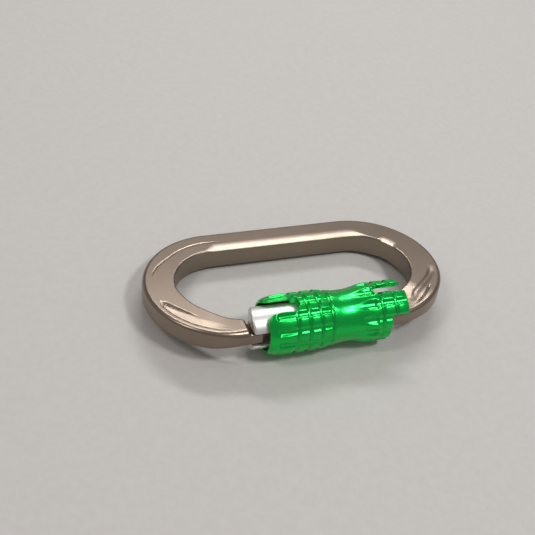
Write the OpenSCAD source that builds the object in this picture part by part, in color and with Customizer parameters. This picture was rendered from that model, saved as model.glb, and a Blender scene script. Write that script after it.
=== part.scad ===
// Locking carabiner: an oval forged frame, a sprung gate on a hinge rivet, and a
// sprung locking sleeve that slides and turns on the gate.
// Millimetres. X runs along the oval, the nose towards -X and the hinge towards +X.
// Y runs across it, the gate towards -Y and the spine towards +Y. Z is up, square to the oval.
// The origin is the middle of the oval, half way through its thickness.

/* [Frame] */
// Overall length of the oval
frame_length = 110; // [109:0.5:111]
// Overall width of the oval
frame_width = 56.7; // [56.4:0.1:57]
// Thickness of the frame, face to face
frame_thickness = 7.9; // [7.7:0.1:8]
// Half the length of the opening inside the frame
opening_half_length = 43.8; // [43.5:0.1:44.1]
// Half the width of the opening inside the frame
opening_half_width = 17.9; // [17.7:0.1:18.1]
// Radius of the frame's outer edges
edge_radius = 1.4; // [1.3:0.1:1.6]
// Width of the bevel round the opening
opening_bevel = 1.1; // [0.6:0.1:1.3]

/* [Nose] */
// Thickness of the nose tenon, which goes between the gate's cheeks
nose_thickness = 4.2; // [4:0.1:4.4]
// Where the full thickness of the frame ends at the nose
nose_shoulder_x = -25.6; // [-25.8:0.1:-25.5]

/* [Gate] */
// Distance of the gate's axis from the middle of the oval
gate_offset = 21.75; // [21.65:0.05:21.85]
// Radius of the gate at its nose end
gate_radius = 7.1; // [7.05:0.05:7.2]
// Radius of the gate under the springs and at its hinge end
stem_radius = 6.2; // [6.1:0.05:6.2]
// Where the hinge rivet stands along the frame
hinge_x = 23.5; // [23.4:0.1:23.7]
// Radius of the hinge rivet's shank
rivet_radius = 1.7; // [1.5:0.1:1.8]
// Thickness of the hinge tongue
tongue_thickness = 5.4; // [5.2:0.1:5.6]

/* [Sleeve] */
// Outer radius of the sleeve over its nose half
sleeve_nose_radius = 10.2; // [10.1:0.1:10.4]
// Outer radius of the sleeve at its waist
sleeve_waist_radius = 9.05; // [9:0.05:9.2]
// Outer radius of the sleeve at its hinge end
sleeve_hinge_radius = 10.25; // [10.1:0.05:10.4]
// Nose end of the sleeve
sleeve_start_x = -19.9; // [-20:0.1:-19.8]
// Hinge end of the sleeve's short side
sleeve_short_x = 24.3; // [24:0.1:24.6]
// Hinge end of the sleeve's two prongs
sleeve_prong_x = 30.8; // [30.5:0.1:31.1]
// Number of lengthwise flutes round the sleeve
flute_count = 12; // [12:1:12]
// How far the sleeve slides towards the hinge
sleeve_travel = 3; // [2.5:0.1:3]
// How far the sleeve turns, in degrees
sleeve_turn = 90; // [80:1:90]

/* [Hidden] */
$fn = 96;

cut = 60;                                   // reach of a cutting block past any solid
fit = 0.05;                                 // radial clearance of a running fit
gap = 0.02;                                 // clearance between faces that rest on each other
half_thickness = frame_thickness / 2;
outer_radius = frame_width / 2;
outer_centre_x = frame_length / 2 - outer_radius;
opening_centre_x = opening_half_length - opening_half_width;
opening_centre_y = -0.1;

nose_front = -27.5;                         // front face of the nose tenon
nose_back = -20.9;                          // back face of the nose tenon
nose_tip_front_x = -20.75;
nose_tip_back_x = -21.3;
arm_edge = [                                // the nose arm's inner edge, thinning to the tenon
    [-36.5, -14.3], [-34.3, -16.3], [-32.4, -17.8], [-30.5, -18.9], [-28.7, -19.5],
    [-27, -20.1], [nose_shoulder_x, nose_back]
];
shoulder_edge = 1.1;                        // bevel of the frame's faces at the nose shoulder
key_x = -23.6;                              // the key groove across the back of the nose
key_length = 1.4;
key_front = -24.6;
key_half = 1.3;
key_play = 0.25;

slot_half = 2.6;                            // half the gap between the gate's cheeks
slot_end_x = -18.6;
gate_end_x = -24.75;                        // nose end of the gate
gate_edge = 0.6;                            // bevel round that end
end_radius = 20;                            // the end is gently rounded in plan
end_centre_y = -2.75;
shoulder_x = -7.5;                          // where the gate steps down to its stem
clevis_x = 17.2;                            // bottom of the clevis slot
ear_radius = 6.2;                           // round end of the clevis ears, about the rivet
tongue_radius = 5.8;                        // round end of the hinge tongue, about the rivet
tongue_flat = 4.6;                          // distance of the tongue's end flat from the rivet
bore_radius = 2.35;                         // bore for the plunger and its spring
bore_start_x = -6;
head_radius = 2.4;
head_z = 5.9;
head_depth = 0.9;

land_radius = gate_radius + fit;            // bore of the land that runs on the gate
land_start_x = -10;
mouth_bore = 8.05;                          // bore of the sleeve in front of its land
spring_bore = 7.75;                         // bore of the sleeve round its spring
prong_bore = 8.2;                           // bore of the sleeve round the frame's hinge end
prong_bore_x = 18;
dome_start_x = -13;                         // the nose end is domed from here
dome_drop = 1.9;
dome_steps = 10;
waist_start_x = -1.5;
waist_low_x = 8;
waist_rise_x = 10;
waist_end_x = 18.5;
waist_steps = 8;
prong_taper = 2.2;                          // length over which the prongs thin at their tips
slot_angle = 5;                             // angles run from the top towards the gate's front
slot_half_width = 3.5;
slot_close_x = -8;
slot_corner = 2.4;
prong_gap_x = 19.4;
prong_gap_half = 2.1;
front_prong = [12, 63];
rear_prong = [-59, -12];
flute_start_x = -16;
flute_phase = 5;
flute_radius = 1.4;
flute_depth = 0.55;
groove_width = 1.3;
groove_depth = 0.55;
groove_x = [-10, -5.75, -1.5, 2.7, 20.9, 25.8];

pin_x = -14.5;
pin_angle = 180;
pin_radius = 1.2;
pin_foot = 5.7;
pin_top = 9.3;
track_floor = 5.6;
track_play = 0.1;
track_slack = asin((pin_radius + track_play) / pin_foot);

collar_length = 3;
ring_x = 16;
ring_width = 0.9;
ring_groove_radius = 5.6;
ring_outer_radius = 7;
seat_thickness = 1;
sleeve_wire = 0.9;
sleeve_coil = 6.85;
sleeve_coils = 6;
gate_wire = 0.6;
gate_coil = 1.85;
gate_coils = 9;
plunger_length = 9.8;
plunger_back_x = hinge_x - tongue_flat - gap - plunger_length;

// Places a shape made about Z so that its axis is the gate's axis, its Z runs along X,
// and its angles run from the top of the gate towards the front.
module on_gate_axis() {
    translate([0, -gate_offset, 0])
        rotate([0, 90, 0])
            rotate([0, 0, 180])
                children();
}

// A round bar between two places along the gate's axis.
module gate_bar(radius, from_x, to_x) {
    on_gate_axis()
        translate([0, 0, from_x])
            cylinder(r = radius, h = to_x - from_x);
}

// A sector of a ring about the gate's axis, between two angles, radii and places.
module gate_sector(angles, inner, outer, from_x, to_x) {
    on_gate_axis()
        rotate([0, 0, angles[0]])
            translate([0, 0, from_x])
                rotate_extrude(angle = angles[1] - angles[0])
                    translate([inner, 0])
                        square([outer - inner, to_x - from_x]);
}

// The outline of the frame's section, with rounded outer edges.
module outer_section(inner_x, outer_x) {
    low = half_thickness - edge_radius;
    translate([inner_x, -half_thickness])
        square([outer_x - edge_radius - inner_x, frame_thickness]);
    translate([inner_x, -low])
        square([outer_x - inner_x, 2 * low]);
    for (side = [-1, 1])
        translate([outer_x - edge_radius, side * low])
            circle(r = edge_radius);
}

// The section of the cut that makes the opening, bevelled towards both faces.
module opening_section(inner_x, outer_x) {
    low = half_thickness - opening_bevel;
    past = opening_bevel + 1;
    polygon([
        [inner_x, -low - past], [outer_x + past, -low - past], [outer_x, -low],
        [outer_x, low], [outer_x + past, low + past], [inner_x, low + past]
    ]);
}

module oval_blank() {
    for (side = [-1, 1])
        translate([side * outer_centre_x, 0, 0])
            rotate_extrude()
                outer_section(0, outer_radius);
    for (side = [0, 1])
        translate([-outer_centre_x, 0, 0])
            mirror([0, side, 0])
                rotate([90, 0, 90])
                    linear_extrude(2 * outer_centre_x)
                        outer_section(-0.01, outer_radius);
}

module opening_cut() {
    for (side = [-1, 1])
        translate([side * opening_centre_x, opening_centre_y, 0])
            rotate_extrude()
                opening_section(0, opening_half_width);
    for (side = [0, 1])
        translate([-opening_centre_x, opening_centre_y, 0])
            mirror([0, side, 0])
                rotate([90, 0, 90])
                    linear_extrude(2 * opening_centre_x)
                        opening_section(-0.01, opening_half_width);
    translate([0, 0, -cut])
        linear_extrude(2 * cut)
            polygon(concat(arm_edge, [[0, nose_back], [0, arm_edge[0][1]]]));
}

// The gate's place: everything between the nose shoulder and the clevis.
module gate_gap() {
    translate([nose_shoulder_x, -cut, -cut])
        cube([hinge_x - nose_shoulder_x, cut - 5, 2 * cut]);
    for (side = [0, 1])
        mirror([0, 0, side])
            translate([nose_shoulder_x, 0, half_thickness - shoulder_edge])
                rotate([90, 0, 0])
                    linear_extrude(cut)
                        polygon([[0, 0], [0, cut], [-cut, cut]]);
}

// Full thickness is cut away round the clevis ears.
module clevis_relief() {
    for (side = [0, 1])
        mirror([0, 0, side])
            translate([hinge_x, -gate_offset, tongue_thickness / 2])
                cylinder(r = ear_radius + 0.45, h = cut);
}

module nose() {
    difference() {
        translate([0, 0, -nose_thickness / 2])
            linear_extrude(nose_thickness)
                polygon([
                    [nose_shoulder_x - 1, nose_front], [nose_tip_front_x, nose_front],
                    [nose_tip_back_x, nose_back], [nose_shoulder_x - 1, nose_back]
                ]);
        for (side = [0, 1])
            mirror([0, 0, side])
                translate([key_x, key_front, key_half])
                    cube([key_length, cut, cut]);
    }
}

module tongue() {
    difference() {
        translate([hinge_x, -gate_offset, -tongue_thickness / 2])
            cylinder(r = tongue_radius, h = tongue_thickness);
        translate([hinge_x - tongue_flat - cut, -gate_offset - cut / 2, -cut / 2])
            cube(cut);
    }
}

module rivet_hole(clearance) {
    translate([hinge_x, -gate_offset, -cut])
        cylinder(r = rivet_radius + clearance, h = 2 * cut);
}

module frame() {
    color([0.56, 0.51, 0.45])
        difference() {
            union() {
                difference() {
                    oval_blank();
                    opening_cut();
                    gate_gap();
                    clevis_relief();
                }
                nose();
                tongue();
            }
            rivet_hole(0);
        }
}

// The plan of the gate: gently rounded at the nose, round about the rivet at the hinge.
module gate_plan() {
    intersection() {
        translate([gate_end_x, -gate_radius])
            square([hinge_x - gate_end_x, 2 * gate_radius]);
        union() {
            translate([gate_end_x + end_radius, end_centre_y])
                circle(r = end_radius);
            translate([gate_end_x + end_radius, -gate_radius])
                square([cut, 2 * gate_radius]);
        }
    }
    translate([hinge_x, 0])
        circle(r = ear_radius);
}

// Ribs inside the cheeks that fill the nose's key groove.
module key_ribs() {
    for (side = [0, 1])
        mirror([0, 0, side])
            translate([key_x + key_play, key_front + key_play, key_half + key_play])
                cube([
                    key_length - 2 * key_play, nose_back - key_front,
                    slot_half - key_half
                ]);
}

module gate() {
    color([0.85, 0.84, 0.82])
        union() {
            difference() {
                intersection() {
                    union() {
                        on_gate_axis()
                            translate([0, 0, gate_end_x])
                                cylinder(r1 = gate_radius - gate_edge, r2 = gate_radius, h = gate_edge);
                        gate_bar(gate_radius, gate_end_x + gate_edge, shoulder_x);
                        gate_bar(stem_radius, shoulder_x, 35);
                    }
                    translate([0, -gate_offset, -cut])
                        linear_extrude(2 * cut)
                            gate_plan();
                }
                translate([-cut, nose_back + gap - cut, -slot_half])
                    cube([cut + slot_end_x, cut, 2 * slot_half]);
                translate([clevis_x, -cut, -tongue_thickness / 2 - fit])
                    cube([cut, cut, tongue_thickness + 2 * fit]);
                rivet_hole(fit);
                for (side = [0, 1])
                    mirror([0, 0, side])
                        translate([hinge_x, -gate_offset, head_z - head_depth - fit])
                            cylinder(
                                r1 = rivet_radius + fit,
                                r2 = head_radius + 3 * fit,
                                h = head_depth + 3 * fit
                            );
                gate_bar(bore_radius, bore_start_x, clevis_x + 1);
                gate_sector(
                    [pin_angle - track_slack, pin_angle + sleeve_turn + track_slack],
                    track_floor, cut, pin_x - pin_radius - track_play,
                    pin_x + sleeve_travel + pin_radius + track_play
                );
                difference() {
                    gate_bar(cut / 2, ring_x, ring_x + ring_width);
                    gate_bar(ring_groove_radius, ring_x - 1, ring_x + 2);
                }
            }
            key_ribs();
        }
}

module hinge_rivet() {
    color([0.72, 0.72, 0.73])
        translate([hinge_x, -gate_offset, 0]) {
            translate([0, 0, -head_z])
                cylinder(r = rivet_radius, h = 2 * head_z);
            for (side = [0, 1])
                mirror([0, 0, side])
                    translate([0, 0, head_z - head_depth])
                        cylinder(r1 = rivet_radius, r2 = head_radius, h = head_depth);
        }
}

module gate_plunger() {
    color([0.75, 0.7, 0.5])
        difference() {
            gate_bar(bore_radius - fit, plunger_back_x, plunger_back_x + plunger_length);
            gate_bar(0.8, plunger_back_x - 1, plunger_back_x + 3);
        }
}

// A coil spring about Z, from z = 0 up to a height. Its first and last turns lie close.
module coil_spring(coil_radius, wire, height, coils) {
    sides = 8;
    steps = 20;
    rings = coils * steps;
    close_rise = 1.15 * wire;
    open_rise = (height - wire - 2 * close_rise) / (coils - 2);
    function height_at(turn) =
        wire / 2 + close_rise * min(turn, 1) + open_rise * max(0, min(turn, coils - 1) - 1)
            + close_rise * max(0, turn - coils + 1);
    points = [
        for (i = [0 : rings], j = [0 : sides - 1])
            let (a = 360 * i / steps, b = 360 * j / sides, r = coil_radius + wire / 2 * cos(b))
                [r * cos(a), r * sin(a), height_at(i / steps) + wire / 2 * sin(b)]
    ];
    walls = [
        for (i = [0 : rings - 1], j = [0 : sides - 1])
            let (k = (j + 1) % sides)
                [i * sides + j, i * sides + k, (i + 1) * sides + k, (i + 1) * sides + j]
    ];
    first = [for (j = [0 : sides - 1]) sides - 1 - j];
    last = [for (j = [0 : sides - 1]) rings * sides + j];
    polyhedron(points = points, faces = concat(walls, [first, last]), convexity = 10);
}

module gate_spring() {
    color([0.6, 0.6, 0.62])
        on_gate_axis()
            translate([0, 0, bore_start_x + gap])
                coil_spring(gate_coil, gate_wire, plunger_back_x - bore_start_x - 2 * gap, gate_coils);
}

// Radius of the sleeve's outside along its waist, and over its domed nose end.
function ease(t) = (1 - cos(180 * max(0, min(1, t)))) / 2;
function waist_radius(x) =
    sleeve_nose_radius
        - (sleeve_nose_radius - sleeve_waist_radius)
            * ease((x - waist_start_x) / (waist_low_x - waist_start_x))
        + (sleeve_hinge_radius - sleeve_waist_radius)
            * ease((x - waist_rise_x) / (waist_end_x - waist_rise_x));
function dome_radius(angle) = sleeve_nose_radius - dome_drop * (1 - cos(angle));

module sleeve_blank() {
    step_in = (waist_low_x - waist_start_x) / waist_steps;
    step_out = (waist_end_x - waist_rise_x) / waist_steps;
    on_gate_axis()
        rotate_extrude()
            polygon(concat(
                [[mouth_bore, sleeve_start_x]],
                [
                    for (i = [dome_steps : -1 : 0])
                        let (angle = 90 * i / dome_steps)
                            [dome_radius(angle), dome_start_x + (sleeve_start_x - dome_start_x) * sin(angle)]
                ],
                [
                    for (i = [0 : waist_steps])
                        let (x = waist_start_x + i * step_in) [waist_radius(x), x]
                ],
                [
                    for (i = [0 : waist_steps])
                        let (x = waist_rise_x + i * step_out) [waist_radius(x), x]
                ],
                [
                    [sleeve_hinge_radius, sleeve_prong_x - prong_taper],
                    [sleeve_hinge_radius - 0.15 * prong_taper, sleeve_prong_x - 0.35 * prong_taper],
                    [sleeve_hinge_radius - 0.4 * prong_taper, sleeve_prong_x],
                    [prong_bore, sleeve_prong_x],
                    [prong_bore, prong_bore_x],
                    [spring_bore, prong_bore_x],
                    [spring_bore, shoulder_x],
                    [land_radius, shoulder_x],
                    [land_radius, land_start_x],
                    [mouth_bore, land_start_x]
                ]
            ));
}

module flutes() {
    for (i = [0 : flute_count - 1]) {
        angle = flute_phase + i * 360 / flute_count;
        on_gate_axis()
            rotate([0, 0, angle]) {
                translate([sleeve_nose_radius + flute_radius - flute_depth, 0, flute_start_x])
                    cylinder(r = flute_radius, h = waist_low_x - flute_start_x);
                translate([sleeve_nose_radius + flute_radius - flute_depth, 0, flute_start_x])
                    sphere(r = flute_radius);
                translate([sleeve_hinge_radius + flute_radius - flute_depth, 0, waist_low_x])
                    cylinder(r = flute_radius, h = cut);
            }
    }
}

module grooves() {
    for (x = groove_x) {
        gate_sector(
            [0, 360], waist_radius(x) - groove_depth, 20, x - groove_width / 2, x + groove_width / 2
        );
    }
}

// The slot in the sleeve's nose end that the frame's nose passes through when it is turned
// to the front.
module nose_slot() {
    on_gate_axis()
        rotate([0, 0, slot_angle])
            rotate([0, 90, 0])
                linear_extrude(cut)
                    offset(r = -slot_corner)
                        offset(delta = slot_corner) {
                            translate([-sleeve_start_x, -cut / 2])
                                square(cut);
                            translate([slot_half_width - slot_close_x, -slot_half_width])
                                square([cut / 2, 2 * slot_half_width]);
                            translate([slot_half_width - slot_close_x, 0])
                                circle(r = slot_half_width);
                        }
}

module prong_gap() {
    on_gate_axis() {
        translate([0, -prong_gap_half, prong_gap_x + prong_gap_half])
            cube([cut, 2 * prong_gap_half, cut]);
        translate([0, 0, prong_gap_x + prong_gap_half])
            rotate([0, 90, 0])
                cylinder(r = prong_gap_half, h = cut);
    }
}

module locking_sleeve() {
    color([0.05, 0.62, 0.25])
        difference() {
            sleeve_blank();
            flutes();
            grooves();
            nose_slot();
            prong_gap();
            gate_sector([front_prong[1], 360 + rear_prong[0]], 5, 20, sleeve_short_x, cut);
            guide_hole();
        }
}

module guide_hole() {
    on_gate_axis()
        rotate([0, 0, pin_angle])
            translate([0, 0, pin_x])
                rotate([0, 90, 0])
                    cylinder(r = pin_radius, h = cut);
}

module guide_pin() {
    color([0.7, 0.7, 0.72])
        on_gate_axis()
            rotate([0, 0, pin_angle])
                translate([pin_foot, 0, pin_x])
                    rotate([0, 90, 0])
                        cylinder(r = pin_radius, h = pin_top - pin_foot);
}

module gate_ring(inner, outer, from_x, length, angle = 360) {
    gate_sector([0, angle], inner, outer, from_x, from_x + length);
}

module thrust_collar() {
    color([0.9, 0.9, 0.86])
        gate_ring(stem_radius + fit, spring_bore - fit, shoulder_x + gap, collar_length);
}

module sleeve_spring() {
    from_x = shoulder_x + gap + collar_length;
    to_x = ring_x - seat_thickness;
    color([0.6, 0.6, 0.62])
        on_gate_axis()
            translate([0, 0, from_x + gap])
                coil_spring(sleeve_coil, sleeve_wire, to_x - from_x - 2 * gap, sleeve_coils);
}

module spring_seat() {
    color([0.8, 0.8, 0.82])
        gate_ring(stem_radius + fit, spring_bore - fit, ring_x - seat_thickness, seat_thickness);
}

module retaining_ring() {
    color([0.3, 0.3, 0.32])
        gate_ring(ring_groove_radius + fit, ring_outer_radius, ring_x + gap, ring_width - 2 * gap, 320);
}

frame();
gate();
hinge_rivet();
gate_plunger();
gate_spring();
locking_sleeve();
guide_pin();
thrust_collar();
sleeve_spring();
spring_seat();
retaining_ring();
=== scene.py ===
"""The looks of the locking carabiner, built round its CAD frame.

Frame, gate and sleeve are drawn again as smooth skins. Each is a field: a function that gives
the distance of a point from the piece's surface, negative inside. Fields work in millimetres,
in the CAD frame, and meshes are made in metres.
"""
import math

import bpy
import numpy as np
from mathutils import Matrix, Vector


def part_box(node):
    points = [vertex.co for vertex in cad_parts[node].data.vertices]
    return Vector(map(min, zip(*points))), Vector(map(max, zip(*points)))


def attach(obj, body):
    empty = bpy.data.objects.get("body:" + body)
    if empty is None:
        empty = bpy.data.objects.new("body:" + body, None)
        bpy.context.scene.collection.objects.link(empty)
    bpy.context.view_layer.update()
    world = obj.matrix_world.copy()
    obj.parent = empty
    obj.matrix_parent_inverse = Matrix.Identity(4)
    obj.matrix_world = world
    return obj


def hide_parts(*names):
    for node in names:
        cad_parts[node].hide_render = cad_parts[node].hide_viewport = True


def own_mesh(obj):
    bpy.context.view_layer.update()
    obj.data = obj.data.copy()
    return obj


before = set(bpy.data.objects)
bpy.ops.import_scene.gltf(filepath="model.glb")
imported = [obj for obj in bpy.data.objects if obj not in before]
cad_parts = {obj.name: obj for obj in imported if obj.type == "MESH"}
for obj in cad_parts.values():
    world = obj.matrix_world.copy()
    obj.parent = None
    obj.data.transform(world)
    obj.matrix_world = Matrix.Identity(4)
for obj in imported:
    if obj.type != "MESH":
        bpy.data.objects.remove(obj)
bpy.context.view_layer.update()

MM = 0.001


# ---------------------------------------------------------------- sizes, as in the CAD model

def span(node):
    """Lowest and highest corner of a CAD node, in millimetres."""
    low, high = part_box(node)
    return np.array(low) / MM, np.array(high) / MM


frame_low, frame_high = span("frame")
gate_low, gate_high = span("gate")
sleeve_low, sleeve_high = span("locking_sleeve")
rivet_low, rivet_high = span("hinge_rivet")

HALF_THICK = frame_high[2]
OUTER_R = frame_high[1]
OUTER_X = frame_high[0] - OUTER_R
OPEN_R = 17.9
OPEN_X = 43.8 - OPEN_R
OPEN_Y = -0.1
EDGE_R = 1.4
LOWER_EDGE_R = 2.2

GATE_Y = (sleeve_low[1] + sleeve_high[1]) / 2
GATE_R = 7.1
STEM_R = 6.2
HINGE_X = (rivet_low[0] + rivet_high[0]) / 2
RIVET_R = 1.7

SLEEVE_START = sleeve_low[0]
SLEEVE_END = sleeve_high[0]
SLEEVE_SHORT = 24.3
HINGE_R = (sleeve_high[1] - sleeve_low[1]) / 2
NOSE_R = 10.2
WAIST_R = 9.05
LAND_BORE = 7.15
MOUTH_BORE = 8.05
SPRING_BORE = 7.75
PRONG_BORE = 8.2


# ---------------------------------------------------------------- shapes as fields

def meet(a, b, edge):
    """Where two shapes overlap, with the edge between them rounded."""
    corner = np.hypot(np.maximum(a + edge, 0), np.maximum(b + edge, 0))
    return np.minimum(np.maximum(a, b), -edge) + corner


def join(a, b, fillet):
    """Two shapes together, with a fillet between them."""
    corner = np.hypot(np.maximum(fillet - a, 0), np.maximum(fillet - b, 0))
    return np.maximum(np.minimum(a, b), fillet) - corner


def cut(solid, tool, edge):
    """A shape with a tool taken out of it, with rounded edges."""
    return meet(solid, -tool, edge)


def within(value, low, high):
    return np.abs(value - (low + high) / 2) - (high - low) / 2


def oval(x, y, centre_x, centre_y, radius):
    return np.hypot(np.maximum(np.abs(x) - centre_x, 0), y - centre_y) - radius


def smooth_step(value, low, high):
    t = np.clip((value - low) / (high - low), 0, 1)
    return t * t * (3 - 2 * t)


def gradient(field, points):
    reach = 0.02
    steps = []
    for axis in range(3):
        shift = np.zeros((3, 1))
        shift[axis] = reach
        steps.append((field(points + shift) - field(points - shift)) / (2 * reach))
    return np.array(steps)


def settle(field, points, reach, rounds=5):
    """Points moved on to the field's zero level, none further than reach."""
    start = points.copy()
    for _ in range(rounds):
        slope = gradient(field, points)
        size = np.maximum((slope * slope).sum(0), 0.05)
        points = points - slope * (field(points) / size)
        move = points - start
        length = np.maximum(np.linalg.norm(move, axis=0), 1e-9)
        points = start + move * np.minimum(1, reach / length)
    return points


def relax(field, points, quads, reach, rounds=3):
    """Evens the quads out along the surface, and keeps them on it."""
    pairs = np.concatenate([quads[:, [i, (i + 1) % 4]] for i in range(4)])
    pairs = np.concatenate([pairs, pairs[:, ::-1]])
    share = np.maximum(np.bincount(pairs[:, 0], minlength=points.shape[1]), 1)
    for _ in range(rounds):
        mean = np.array([
            np.bincount(pairs[:, 0], weights=points[axis][pairs[:, 1]], minlength=points.shape[1])
            for axis in range(3)
        ]) / share
        points = settle(field, points + 0.5 * (mean - points), reach, 2)
    return points


def contour(field, place, axes, step, wraps=False):
    """Points and quads on the field's zero level, one point for each grid cell that it crosses.

    place turns grid values into x, y and z. A grid that wraps closes on itself along its
    second axis.
    """
    grid = np.meshgrid(*axes, indexing="ij")
    inside = field(np.array(place(*grid)).reshape(3, -1)).reshape(grid[0].shape) < 0
    if wraps:
        inside = np.concatenate([inside, inside[:, :1]], axis=1)
        turn = 2 * axes[1][-1] - axes[1][-2]
        axes = (axes[0], np.append(axes[1], turn), axes[2])
    cells = [n - 1 for n in inside.shape]
    filled = np.zeros(cells, int)
    for i in (0, 1):
        for j in (0, 1):
            for k in (0, 1):
                filled += inside[i:cells[0] + i, j:cells[1] + j, k:cells[2] + k]
    where = np.argwhere((filled > 0) & (filled < 8))
    number = np.full(cells, -1)
    number[tuple(where.T)] = np.arange(len(where))
    middle = [(axes[i][where[:, i]] + axes[i][where[:, i] + 1]) / 2 for i in range(3)]
    points = settle(field, np.array(place(*middle)), 0.9 * step)

    quads = []
    for axis in range(3):
        ahead = [slice(None)] * 3
        behind = [slice(None)] * 3
        ahead[axis] = slice(1, None)
        behind[axis] = slice(None, -1)
        here = inside[tuple(behind)]
        edges = np.argwhere(here != inside[tuple(ahead)])
        one, two = (axis + 1) % 3, (axis + 2) % 3
        for other in (one, two):
            keep = edges[:, other] >= 1
            if not (wraps and other == 1):
                keep &= edges[:, other] < cells[other]
            edges = edges[keep]
        ring = []
        for back_one, back_two in ((0, 0), (1, 0), (1, 1), (0, 1)):
            cell = edges.copy()
            cell[:, one] -= back_one
            cell[:, two] -= back_two
            cell %= np.array(cells)
            ring.append(number[tuple(cell.T)])
        ring = np.array(ring).T
        leaves = here[tuple(edges.T)]
        ring[~leaves] = ring[~leaves][:, ::-1]
        quads.append(ring)
    quads = np.concatenate(quads)
    points = relax(field, points, quads, 0.8 * step)
    across = np.cross(
        (points[:, quads[:, 2]] - points[:, quads[:, 0]]).T,
        (points[:, quads[:, 3]] - points[:, quads[:, 1]]).T,
    )
    outward = gradient(field, points[:, quads[:, 0]]).T
    if (across * outward).sum() < 0:
        quads = quads[:, ::-1]
    return points, quads


def skin(name, field, place, axes, step, wraps=False):
    """A smooth mesh object on the zero level of a field."""
    points, quads = contour(field, place, axes, step, wraps)
    normals = gradient(field, points)
    normals /= np.maximum(np.linalg.norm(normals, axis=0), 1e-9)
    mesh = bpy.data.meshes.new(name)
    mesh.from_pydata((points.T * MM).tolist(), [], quads.tolist())
    mesh.polygons.foreach_set("use_smooth", np.ones(len(quads), bool))
    mesh.normals_split_custom_set_from_vertices(normals.T.tolist())
    mesh.update()
    piece = bpy.data.objects.new(name, mesh)
    bpy.context.scene.collection.objects.link(piece)
    return piece


def straight(x, y, z):
    return x, y, z


def round_gate(x, angle, radius):
    """Grid values along, round and out from the gate's axis; the angle is 0 at the top and
    grows towards the front."""
    return x, GATE_Y - radius * np.sin(angle), radius * np.cos(angle)


def box_axes(low, high, step, margin=0.6):
    return tuple(
        np.arange(low[i] - margin * 1.03, high[i] + margin + step, step) for i in range(3)
    )


# ---------------------------------------------------------------- frame

NOSE_SHOULDER = -25.6
TENON_HALF = 2.1
NOSE_FRONT = -27.5
NOSE_BACK = -20.9
NOSE_TIP = -20.75
EAR_R = 6.2
TONGUE_HALF = 2.7
TONGUE_R = 5.8
TONGUE_LENGTH = 4.6
THINNING = 0.85
NOSE_THINNING = 0.65 * THINNING
SCOOP_DEPTH = 0.6
RIM_DROP = 0.14
HINGE_SCOOP_DEPTH = 0.26
CREASE_WIDTH = 0.3
KEY_FROM, KEY_TO = -23.6, -22.2
KEY_FRONT, KEY_HALF = -24.6, 1.3


def fades(value, start, end):
    """1 between two fading places, 0 outside them."""
    return smooth_step(value, *start) * (1 - smooth_step(value, *end))


def bend_place(x, y):
    """Radius and angle about the nearer bend's centre; the angle is 0 at the oval's tip and
    positive towards the gate."""
    along = np.abs(x) - OUTER_X
    return np.hypot(along, y), np.degrees(np.arctan2(-y, along))


def opening(x, y):
    """The opening's outline. Beside the nose its wall leaves the oval: the stock is fuller half
    way round the bend and thins towards the tenon."""
    angle = np.degrees(np.arctan2(OPEN_Y - y, -x - OPEN_X))
    change = (
        2.4 * smooth_step(angle, 42, 92) + 1.5 * smooth_step(angle, 84, 100)
        - 0.5 * smooth_step(angle, 0, 18)
    )
    return oval(x, y, OPEN_X, OPEN_Y, OPEN_R) - np.where(x < 0, change, 0)


def crease(radius, track, depth):
    """A thin forged crease along a track round a bend."""
    return depth * np.exp(-((radius - track) / CREASE_WIDTH) ** 2)


def nose_scoop(radius, angle):
    """A forged scoop with a pointed end: a gentle inner side and a steep outer side, whose rim
    falls away outwards to a sharp step."""
    inner = 21.15 + 3.35 * np.exp(-(angle - 14.6) / 9.5)
    outer = 25.1 - 0.119 * (angle - 19)
    across = np.clip((radius - inner) / np.maximum(outer - inner, 0.1), 0, 1)
    slope = across ** 1.2 * (1 - smooth_step(across, 0.7, 1.0))
    scoop = SCOOP_DEPTH * fades(angle, (14, 21), (34, 50)) * slope
    rim = np.maximum(outer, 22.6)
    fall = np.clip((radius - rim) / np.maximum(25.75 - rim, 0.1), 0, 1) * (radius < 26.1)
    fall = fall * (1 - smooth_step(radius, 25.7, 26.0))
    step = RIM_DROP * fades(angle, (15, 20), (58, 80)) * fall
    return scoop + step


def hinge_scoop(radius, angle):
    """A shallow scoop that wanders inwards along the bend."""
    track = 24.9 - 2.6 * smooth_step(angle, 14, 48) + 1.5 * smooth_step(angle, 55, 68)
    near = 1 - smooth_step(np.abs(radius - track), 0.0, 1.8)
    return HINGE_SCOOP_DEPTH * fades(angle, (12, 24), (60, 72)) * near


def forged(x, y):
    """How far the frame's faces lie below the full thickness."""
    radius, angle = bend_place(x, y)
    spine_track = 22.9 + 2.1 * (1 - smooth_step(-angle, 18, 50))
    nose_side = (
        NOSE_THINNING * smooth_step(angle, 55, 92)
        + fades(-angle, (16, 24), (80, 108)) * crease(radius, spine_track, 0.08)
        + nose_scoop(radius, angle)
    )
    hinge_side = (
        THINNING * smooth_step(angle, 45, 78)
        + fades(angle, (40, 46), (60, 70)) * crease(radius, 25.0 + 0.045 * (angle - 43), 0.26)
        + hinge_scoop(radius, angle)
    )
    return np.where(x < 0, nose_side, hinge_side)


def bevel_field(a, b, x, y):
    """The flat bevel along the spine's inner edge, which fades into the bends."""
    _, angle = bend_place(x, y)
    round_bend = np.where(x > 0, 0.75 * fades(-angle, (22, 30), (42, 52)), 0)
    fade = np.where(y > 0, np.maximum(fades(x, (-29, -24), (29, 36)), round_bend), 0)
    wide, high = 0.3 + 2.65 * fade, 0.25 + 0.27 * fade
    return (a * high + b * wide + high * wide) / np.hypot(high, wide)


def gate_place(x, y):
    """Positive in the gap where the gate lies, between the nose shoulder and the clevis."""
    return np.minimum(np.minimum(x - NOSE_SHOULDER, HINGE_X - x), -5 - y)


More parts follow.
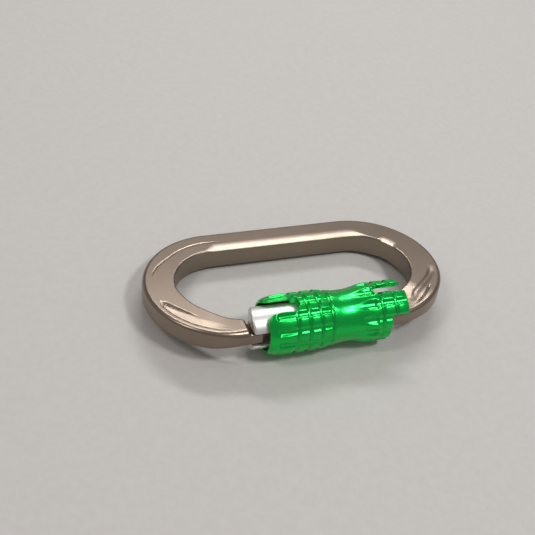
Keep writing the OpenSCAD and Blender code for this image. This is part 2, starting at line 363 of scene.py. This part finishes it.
def frame_field(p):
    """The forged oval with its nose and hinge tongue. tuck takes the nose arm's front in."""
    x, y, z = p
    top = np.abs(z) - HALF_THICK + forged(x, y)
    hole = opening(x, y)
    _, angle = bend_place(x, y)
    tuck = np.where(x < 0, smooth_step(angle, 64, 95), 0)
    edge = np.where(z < 0, LOWER_EDGE_R, EDGE_R) + tuck
    body = meet(oval(x, y, OUTER_X, 0, OUTER_R) + 0.75 * tuck, top, edge)
    body = meet(body, -hole, 0.4)
    body = meet(body, bevel_field(-hole, top, x, y), 0.2)
    body = meet(body, gate_place(x, y), 1.0)
    pin = np.hypot(x - HINGE_X, y - GATE_Y)
    ears = meet(pin - EAR_R - 0.45, TONGUE_HALF - np.abs(z), 0.1)
    body = cut(body, ears, 0.25)
    return join(join(body, nose_field(x, y, z), 0.5), tongue_field(x, z, pin), 0.3)


def nose_field(x, y, z):
    tip = NOSE_TIP - 0.09 * (y - NOSE_FRONT)
    plate = meet(within(y, NOSE_FRONT, NOSE_BACK), np.maximum(-31 - x, x - tip), 0.5)
    plate = meet(plate, np.abs(z) - TENON_HALF, 0.8)
    key = np.maximum(within(x, KEY_FROM, KEY_TO), np.maximum(KEY_FRONT - y, KEY_HALF - np.abs(z)))
    return cut(plate, key, 0.12)


def tongue_field(x, z, pin):
    disc = meet(pin - TONGUE_R, HINGE_X - TONGUE_LENGTH - x, 0.2)
    disc = meet(disc, np.abs(z) - TONGUE_HALF, 0.3)
    return cut(disc, pin - RIVET_R, 0.05)


# ---------------------------------------------------------------- gate

FORK_HALF = 2.6
FORK_END = -18.6
END_R = 20.0
HEAD_END = -7.5
RIB_FROM, RIB_TO = -23.35, -22.45
RIB_FRONT, RIB_HALF = -24.35, 1.55
CLEVIS_START = 17.2
RIVET_HOLE_R = 1.75
SINK_START = 4.95
BORE_R = 2.35
BORE_FROM, BORE_TO = -6, 18.2
WINDOW_FROM, WINDOW_TO = -15.8, -10.2
WINDOW_ANGLES = (167, 283)
WINDOW_FLOOR = 5.6


def gate_field(p):
    """The gate with its fork and ribs, clevis, rivet hole, plunger bore and pin window."""
    x, y, z = p
    away = np.hypot(y - GATE_Y, z)
    head = meet(away - GATE_R, x - HEAD_END, 0.1)
    end = np.where(x < -5, np.hypot(x - gate_low[0] - END_R, y - GATE_Y + 2.75) - END_R, -5.0)
    body = meet(np.minimum(head, away - STEM_R), end, 0.7)
    pin = np.hypot(x - HINGE_X, y - GATE_Y)
    body = meet(body, np.where(x > HINGE_X, pin - EAR_R, -5.0), 0.4)
    fork = np.maximum(np.abs(z) - FORK_HALF, np.maximum(x - FORK_END, y - NOSE_BACK))
    body = cut(body, fork, 0.4)
    rib = np.maximum(within(y, RIB_FRONT, NOSE_BACK), RIB_HALF - np.abs(z))
    rib = np.maximum(within(x, RIB_FROM, RIB_TO), rib)
    body = np.minimum(body, meet(rib, away - GATE_R + 1, 0.1))
    clevis = np.maximum(np.abs(z) - TONGUE_HALF - 0.05, CLEVIS_START - x)
    body = cut(body, clevis, 0.15)
    sink = (pin - RIVET_HOLE_R - np.maximum(np.abs(z) - SINK_START, 0) * 0.95) / 1.3
    body = cut(body, np.minimum(pin - RIVET_HOLE_R, sink), 0.05)
    bore = np.maximum(away - BORE_R, within(x, BORE_FROM, BORE_TO))
    body = cut(body, bore, 0.05)
    angle = np.degrees(np.arctan2(GATE_Y - y, z)) % 360
    window = within(angle, *WINDOW_ANGLES) * np.radians(1.0) * away
    window = np.maximum(within(x, WINDOW_FROM, WINDOW_TO), window)
    track = np.maximum(WINDOW_FLOOR - away, window)
    return cut(body, track, 0.05)


# ---------------------------------------------------------------- sleeve

FLUTES = 12
FLUTE_PHASE = 5.0
FLUTE_R = 1.4
FLUTE_START = -16
GROOVES = (-10.0, -5.75, -1.5, 2.7, 20.9, 25.8)
GROOVE_R = 0.66
LAND_FROM, LAND_TO = -10, -7.5
PRONG_BORE_FROM = 18
DOME_START = -13.0
DOME_DROP = 1.85
SLOT_ANGLE = 5.0
SLOT_HALF = 3.5
SLOT_END = -8.0
GAP_END = 19.4
GAP_HALF = 2.1
FRONT_PRONG_EDGE = 63.0
REAR_PRONG_EDGE = -59.0


def sleeve_radius(x):
    """Radius of the sleeve behind its domed nose end."""
    down = smooth_step(x, -1.5, 8)
    up = smooth_step(x, 10, 18.5)
    tip = smooth_step(x, 27.8, 33)
    return NOSE_R + (WAIST_R - NOSE_R) * down + (HINGE_R - WAIST_R) * up - 0.7 * tip


def dome(x, away):
    along = np.maximum(DOME_START - x, 0) / (DOME_START - SLEEVE_START)
    out = np.maximum(away - NOSE_R + DOME_DROP, 0) / DOME_DROP
    return (np.hypot(along, out) - 1) * DOME_DROP


def bore_field(x, away):
    """The stepped bore: mouth, land on the gate, spring room and the room between the prongs."""
    steps = (
        (-60, LAND_FROM, MOUTH_BORE), (-60, LAND_TO, LAND_BORE),
        (LAND_TO, 60, SPRING_BORE), (PRONG_BORE_FROM, 60, PRONG_BORE),
    )
    bore = np.full_like(x, 60.0)
    for low, high, radius in steps:
        bore = np.minimum(bore, np.maximum(away - radius, within(x, low, high)))
    return bore


def flute_field(x, away, angle, arc):
    """The nearest flute: rounded at the nose end, faded at the waist, wide where the hinge end
    rises."""
    pitch = 360 / FLUTES
    off = ((angle - FLUTE_PHASE + pitch / 2) % pitch - pitch / 2) * arc
    lift = 0.4 + 0.45 * smooth_step(x, -17, -9) + 0.9 * smooth_step(x, 1.0, 6.0)
    out = away - sleeve_radius(x) - lift
    nose = np.sqrt(off ** 2 + out ** 2 + np.maximum(FLUTE_START - x, 0) ** 2) - FLUTE_R
    nose = np.maximum(nose, x - 8)
    wide = np.sqrt(off ** 2 + (away - 11.15) ** 2 + np.maximum(x - 18, 0) ** 2) - 1.9
    hinge = np.maximum(np.hypot(off, away - HINGE_R - 0.85) - FLUTE_R, 15 - x)
    return np.minimum(nose, np.maximum(np.minimum(wide, hinge), 9 - x))


def sleeve_field(p):
    """The sleeve with its flutes, grooves and bore, the slot at the nose end and the gap and
    prongs at the hinge end."""
    x, y, z = p
    away = np.hypot(y - GATE_Y, z)
    angle = np.degrees(np.arctan2(GATE_Y - y, z))
    arc = np.radians(1.0) * away

    body = np.where(x < DOME_START, dome(x, away), away - sleeve_radius(x))
    body = cut(body, flute_field(x, away, angle, arc), 0.4)
    for place in GROOVES:
        rim = sleeve_radius(np.array(place))
        body = cut(body, np.hypot(x - place, away - rim - 0.1) - GROOVE_R, 0.32)
    body = meet(body, x - SLEEVE_END, 0.7)
    body = cut(body, bore_field(x, away), 0.15)

    upper = np.abs(angle) < 90
    side = (angle - SLOT_ANGLE) * arc
    slot = np.hypot(np.maximum(x - SLOT_END + SLOT_HALF, 0), side) - SLOT_HALF
    slot = np.where(upper, join(slot, x - SLEEVE_START, 2.4), x - SLEEVE_START)
    body = cut(body, slot, 0.3)
    gap = np.hypot(np.minimum(x - GAP_END - GAP_HALF, 0), angle * arc) - GAP_HALF
    body = cut(body, np.where(upper, gap, 5.0), 0.4)

    middle = (FRONT_PRONG_EDGE + REAR_PRONG_EDGE) / 2
    half = (FRONT_PRONG_EDGE - REAR_PRONG_EDGE) / 2
    swing = np.abs((angle - middle + 180) % 360 - 180)
    short = meet((half - swing) * arc, SLEEVE_SHORT - x, 0.6)
    rear = join(short, SLEEVE_END - 0.4 - x, 2.6)
    front = join(short, SLEEVE_END - x, 1.0)
    return cut(body, np.where(angle < 0, rear, front), 0.5)


# ---------------------------------------------------------------- springs

def helix(turns, per_turn, radius, low, high, wire):
    """Points along a spring whose first and last turns lie close."""
    close = 1.15 * wire
    rise = (high - low - wire - 2 * close) / (turns - 2)
    points = []
    for i in range(turns * per_turn + 1):
        turn = i / per_turn
        along = low + wire / 2 + close * min(turn, 1) + rise * max(0, min(turn, turns - 1) - 1)
        along += close * max(0, turn - turns + 1)
        angle = 2 * math.pi * turn
        points.append((along, GATE_Y + radius * math.sin(angle), radius * math.cos(angle)))
    return points


def spring(name, node, turns, wire):
    """A round-wire spring along X, the length of a CAD node, carried with the gate."""
    low, high = span(node)
    radius = (high[1] - low[1] - wire) / 2
    curve = bpy.data.curves.new(name, "CURVE")
    curve.dimensions = "3D"
    curve.bevel_depth = wire / 2 * MM
    curve.bevel_resolution = 4
    curve.use_fill_caps = True
    line = curve.splines.new("POLY")
    points = helix(turns, 28, radius, low[0], high[0], wire)
    line.points.add(len(points) - 1)
    for point, place in zip(line.points, points):
        point.co = (*[c * MM for c in place], 1)
    made = bpy.data.objects.new(name + "_curve", curve)
    bpy.context.scene.collection.objects.link(made)
    mesh = bpy.data.meshes.new_from_object(made.evaluated_get(bpy.context.evaluated_depsgraph_get()))
    mesh.name = name
    bpy.data.objects.remove(made)
    mesh.polygons.foreach_set("use_smooth", [True] * len(mesh.polygons))
    piece = bpy.data.objects.new(name, mesh)
    bpy.context.scene.collection.objects.link(piece)
    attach(piece, "gate")
    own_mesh(piece)
    return piece


# ---------------------------------------------------------------- materials

class Nodes:
    """A short way to write a node tree."""

    def __init__(self, name):
        self.material = bpy.data.materials.new(name)
        self.material.use_nodes = True
        self.tree = self.material.node_tree
        self.shader = self.tree.nodes["Principled BSDF"]

    def add(self, kind, inputs=None, **settings):
        node = self.tree.nodes.new(kind)
        for key, value in settings.items():
            setattr(node, key, value)
        for key, value in (inputs or {}).items():
            if isinstance(value, bpy.types.NodeSocket):
                self.tree.links.new(value, node.inputs[key])
            else:
                node.inputs[key].default_value = value
        return node

    def link(self, source, target):
        self.tree.links.new(source, target)

    def set(self, **values):
        for key, value in values.items():
            self.shader.inputs[key.replace("_", " ")].default_value = value

    def place(self, scale=(1, 1, 1)):
        where = self.add("ShaderNodeTexCoord").outputs["Object"]
        return self.add("ShaderNodeMapping", {"Vector": where, "Scale": scale}).outputs["Vector"]

    def noise(self, vector, scale, detail):
        return self.add("ShaderNodeTexNoise", {
            "Vector": vector, "Scale": scale, "Detail": detail, "Roughness": 0.55,
        }).outputs["Fac"]

    def ramp(self, value, *stops):
        node = self.add("ShaderNodeValToRGB", {"Fac": value})
        points = node.color_ramp.elements
        while len(points) < len(stops):
            points.new(0.5)
        for point, (position, colour) in zip(points, stops):
            point.position = position
            point.color = (*colour, 1)
        return node.outputs["Color"]

    def span(self, value, low, high):
        return self.add("ShaderNodeMapRange", {
            "Value": value, "From Min": 0.0, "From Max": 1.0, "To Min": low, "To Max": high,
        }).outputs["Result"]

    def mix(self, factor, one, two):
        node = self.add("ShaderNodeMix", data_type="RGBA", blend_type="MIX")
        for socket, value in ((node.inputs[0], factor), (node.inputs[6], one), (node.inputs[7], two)):
            if isinstance(value, bpy.types.NodeSocket):
                self.tree.links.new(value, socket)
            elif isinstance(value, tuple):
                socket.default_value = (*value, 1)
            else:
                socket.default_value = value
        return node.outputs[2]

    def edges(self, low, high):
        """1 on convex edges, 0 elsewhere."""
        point = self.add("ShaderNodeNewGeometry").outputs["Pointiness"]
        return self.add("ShaderNodeMapRange", {
            "Value": point, "From Min": low, "From Max": high, "To Min": 0.0, "To Max": 1.0,
        }).outputs["Result"]

    def shade_in_hollows(self, low, high):
        """1 in concave creases, 0 elsewhere: the mask for shade painted into them."""
        point = self.add("ShaderNodeNewGeometry").outputs["Pointiness"]
        return self.add("ShaderNodeMapRange", {
            "Value": point, "From Min": low, "From Max": high, "To Min": 1.0, "To Max": 0.0,
        }).outputs["Result"]

    def bump(self, height, strength, distance):
        node = self.add("ShaderNodeBump", {
            "Height": height, "Strength": strength, "Distance": distance,
        })
        self.link(node.outputs["Normal"], self.shader.inputs["Normal"])


def titanium_grey():
    """Tumbled, anodised aluminium in a warm grey."""
    m = Nodes("titanium_grey")
    where = m.place()
    grain = m.noise(where, 1400, 1)
    cloud = m.noise(where, 60, 5)
    base = m.ramp(cloud, (0.3, (0.260, 0.206, 0.164)), (0.7, (0.290, 0.230, 0.184)))
    base = m.mix(m.span(grain, 0.0, 0.06), base, (0.36, 0.295, 0.24))
    worn = m.mix(m.edges(0.57, 0.7), base, (0.54, 0.49, 0.435))
    m.link(worn, m.shader.inputs["Base Color"])
    m.link(m.span(m.noise(where, 500, 2), 0.27, 0.32), m.shader.inputs["Roughness"])
    m.set(Metallic=0.95)
    m.bump(grain, 0.03, 0.00001)
    return m.material


def satin_silver():
    """Bare polished gate metal with a fine brushed grain round its axis."""
    m = Nodes("satin_silver")
    lines = m.noise(m.place((1, 0.06, 0.06)), 4200, 2)
    cloud = m.noise(m.place(), 160, 4)
    base = m.ramp(cloud, (0.3, (0.76, 0.75, 0.72)), (0.7, (0.84, 0.83, 0.80)))
    m.link(base, m.shader.inputs["Base Color"])
    m.link(m.span(lines, 0.36, 0.5), m.shader.inputs["Roughness"])
    m.set(Metallic=0.85)
    m.bump(lines, 0.1, 0.00004)
    return m.material


def green_anodised():
    """Bright-dipped, dyed aluminium under a clear sealed layer, with shade painted into its grooves."""
    m = Nodes("green_anodised")
    where = m.place()
    cloud = m.noise(where, 90, 4)
    grain = m.noise(where, 3200, 3)
    base = m.ramp(cloud, (0.3, (0.0, 0.52, 0.07)), (0.7, (0.0, 0.62, 0.09)))
    # Painted shade: the concave flutes, grooves and creases are darkened almost to black in the base colour.
    base = m.mix(m.shade_in_hollows(0.42, 0.495), base, (0.0, 0.05, 0.006))
    worn = m.mix(m.edges(0.53, 0.66), base, (0.02, 0.66, 0.11))
    m.link(worn, m.shader.inputs["Base Color"])
    m.link(m.span(grain, 0.25, 0.31), m.shader.inputs["Roughness"])
    m.set(Metallic=0.85, Coat_Weight=0.3, Coat_Roughness=0.18)
    m.bump(grain, 0.04, 0.00001)
    return m.material


def steel(name, low, high, rough):
    """Drawn or turned steel."""
    m = Nodes(name)
    lines = m.noise(m.place((1, 0.1, 0.1)), 3600, 3)
    base = m.ramp(m.noise(m.place(), 240, 4), (0.3, low), (0.7, high))
    m.link(base, m.shader.inputs["Base Color"])
    m.link(m.span(lines, rough, rough + 0.18), m.shader.inputs["Roughness"])
    m.set(Metallic=1.0)
    m.bump(lines, 0.12, 0.00004)
    return m.material


def acetal():
    """White moulded plastic."""
    m = Nodes("white_acetal")
    fine = m.noise(m.place(), 1500, 4)
    m.link(m.ramp(fine, (0.3, (0.78, 0.78, 0.74)), (0.7, (0.86, 0.86, 0.82))), m.shader.inputs["Base Color"])
    m.link(m.span(fine, 0.38, 0.5), m.shader.inputs["Roughness"])
    m.set(Subsurface_Weight=0.05)
    m.bump(fine, 0.06, 0.00005)
    return m.material


# ---------------------------------------------------------------- pieces

def finish_piece(piece, material, body, slot, *nodes):
    piece.data.materials.clear()
    piece.data.materials.append(material)
    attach(piece, body)
    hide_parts(*nodes)
    return piece


frame_step = 0.34
frame_axes = box_axes(frame_low, frame_high, frame_step)
frame_piece = skin("frame_skin", frame_field, straight, frame_axes, frame_step)

gate_step = 0.27
gate_axes = box_axes(gate_low, gate_high, gate_step)
gate_piece = skin("gate_skin", gate_field, straight, gate_axes, gate_step)

sleeve_step = 0.2
around = int(2 * math.pi * NOSE_R / sleeve_step)
sleeve_axes = (
    np.arange(SLEEVE_START - 0.7, SLEEVE_END + 0.7 + sleeve_step, sleeve_step),
    np.arange(around) * 2 * math.pi / around,
    np.arange(LAND_BORE - 0.63, HINGE_R + 0.6, sleeve_step),
)
sleeve_piece = skin("sleeve_skin", sleeve_field, round_gate, sleeve_axes, sleeve_step, wraps=True)

silver = satin_silver()
plain_steel = steel("steel", (0.55, 0.55, 0.57), (0.68, 0.68, 0.70), 0.22)
spring_steel = steel("spring_steel", (0.42, 0.42, 0.45), (0.55, 0.55, 0.58), 0.25)
brass = steel("brass", (0.62, 0.46, 0.20), (0.74, 0.57, 0.28), 0.25)

finish_piece(frame_piece, titanium_grey(), "frame", "titanium_grey", "frame")
finish_piece(gate_piece, silver, "gate", "satin_silver", "gate")
finish_piece(sleeve_piece, green_anodised(), "sleeve", "green_anodised", "locking_sleeve")

for name, joint, turns, wire, keep in (
    ("sleeve_spring", "sleeve_slide", 6, 0.9, 0.84),
    ("gate_spring", "plunger_slide", 9, 0.6, 0.88),
):
    coil = spring(name + "_wire", name, turns, wire)
    coil.data.materials.clear()
    coil.data.materials.append(spring_steel)
    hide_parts(name)

for name, material in (
    ("hinge_rivet", plain_steel), ("guide_pin", plain_steel), ("spring_seat", plain_steel),
    ("retaining_ring", spring_steel), ("gate_plunger", brass), ("thrust_collar", acetal()),
):
    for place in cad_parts[name].material_slots:
        place.material = material


# ---------------------------------------------------------------- floor, light and camera

def lying_plane():
    """Angle about X of the plane that touches the sleeve and the spine from below."""
    run = OUTER_R - LOWER_EDGE_R - GATE_Y
    rise = LOWER_EDGE_R - HALF_THICK
    return math.atan2(rise, run) + math.asin((NOSE_R - LOWER_EDGE_R) / math.hypot(run, rise))


TILT = lying_plane()
UP = Vector((0, -math.sin(TILT), math.cos(TILT)))
REST_POINT = (Vector((0, GATE_Y, 0)) - UP * NOSE_R) * MM


def floor():
    material = Nodes("floor")
    fine = material.noise(material.place(), 400, 3)
    tone = material.ramp(fine, (0.3, (0.58, 0.56, 0.54)), (0.7, (0.61, 0.59, 0.57)))
    material.link(tone, material.shader.inputs["Base Color"])
    material.set(Roughness=0.7)
    mesh = bpy.data.meshes.new("floor")
    side = 3.0
    turn = Matrix.Rotation(TILT, 3, "X")
    corners = [turn @ Vector((x, y, 0)) + REST_POINT
               for x, y in ((-side, -side), (side, -side), (side, side), (-side, side))]
    mesh.from_pydata(corners, [], [(0, 1, 2, 3)])
    mesh.materials.append(material.material)
    made = bpy.data.objects.new("floor", mesh)
    bpy.context.scene.collection.objects.link(made)


def softbox(name, direction, distance, width, height, power, colour=(1, 1, 1)):
    """A rectangular soft light that looks at the object from a direction."""
    light = bpy.data.lights.new(name, "AREA")
    light.shape = "RECTANGLE"
    light.size = width
    light.size_y = height
    light.energy = power
    light.color = colour
    made = bpy.data.objects.new(name, light)
    toward = Vector(direction).normalized()
    made.location = toward * distance
    made.rotation_mode = "QUATERNION"
    made.rotation_quaternion = (-toward).to_track_quat("-Z", "Y")
    bpy.context.scene.collection.objects.link(made)


def lights():
    softbox("key", (0.38, -0.45, 0.80), 0.9, 0.18, 0.13, 2.6)
    softbox("back", (0.24, 0.54, 0.79), 0.9, 0.5, 0.09, 2.6)
    softbox("left", (-0.56, -0.10, 0.83), 1.0, 0.14, 0.3, 1.6, (1.0, 0.97, 0.94))
    world = bpy.data.worlds.new("studio")
    world.use_nodes = True
    back = world.node_tree.nodes["Background"]
    back.inputs["Color"].default_value = (0.86, 0.83, 0.80, 1)
    back.inputs["Strength"].default_value = 0.34
    bpy.context.scene.world = world


def camera():
    """Looks from the gate side, above and a little to the nose end."""
    azimuth, elevation, roll = (math.radians(a) for a in (23.23, 36.69, 7.40))
    forward = Vector((
        math.sin(azimuth) * math.cos(elevation),
        math.cos(azimuth) * math.cos(elevation),
        -math.sin(elevation),
    ))
    right = Vector((math.cos(azimuth), -math.sin(azimuth), 0))
    above = right.cross(forward)
    across = math.cos(roll) * right + math.sin(roll) * above
    upward = -math.sin(roll) * right + math.cos(roll) * above
    data = bpy.data.cameras.new("camera")
    data.sensor_width = 36
    data.lens = 62.56
    data.clip_start = 0.01
    made = bpy.data.objects.new("camera", data)
    place = Vector((-114.1, -239.8, 201.9)) * MM
    made.matrix_world = Matrix((
        (across.x, upward.x, -forward.x, place.x),
        (across.y, upward.y, -forward.y, place.y),
        (across.z, upward.z, -forward.z, place.z),
        (0, 0, 0, 1),
    ))
    bpy.context.scene.collection.objects.link(made)
    bpy.context.scene.camera = made


floor()
lights()
camera()
bpy.context.scene.view_settings.view_transform = "Standard"
